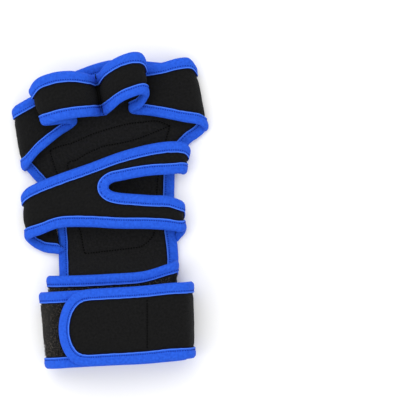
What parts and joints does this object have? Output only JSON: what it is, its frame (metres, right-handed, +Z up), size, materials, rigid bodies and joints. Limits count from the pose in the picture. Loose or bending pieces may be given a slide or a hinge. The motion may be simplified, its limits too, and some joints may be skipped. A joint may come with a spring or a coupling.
{
  "type": "weightlifting glove",
  "caption": "Open-backed lifting glove for the left hand: padded palm, band of finger loops, forked strap with a thumb hole and a wound wrist wrap, all bound with tape.",
  "frame": {"origin": "under the middle of the glove's bounding box, on the surface that it lies on", "axes": "+Y towards the fingertips, +X towards the thumb side, +Z up out of the back of the hand"},
  "size_m": [0.1274, 0.205, 0.0362],
  "materials": {
    "neoprene": "matt black knit over foam rubber",
    "grip_patch": "matt black padded grip cloth",
    "binding": "bright blue woven fold-over tape"
  },
  "bodies": {
    "root": {"palm_panel": "neoprene", "binding_palm_left": "binding", "binding_palm_right": "binding", "binding_palm_top": "binding", "palm_grip_patch": "grip_patch", "finger_band": "neoprene", "binding_fingers_upper": "binding", "binding_fingers_lower": "binding", "hand_strap": "neoprene", "binding_hand_upper": "binding", "binding_hand_lower": "binding", "binding_thumb_hole": "binding", "wrist_strap": "neoprene", "binding_wrist": "binding"}
  },
  "joints": []
}
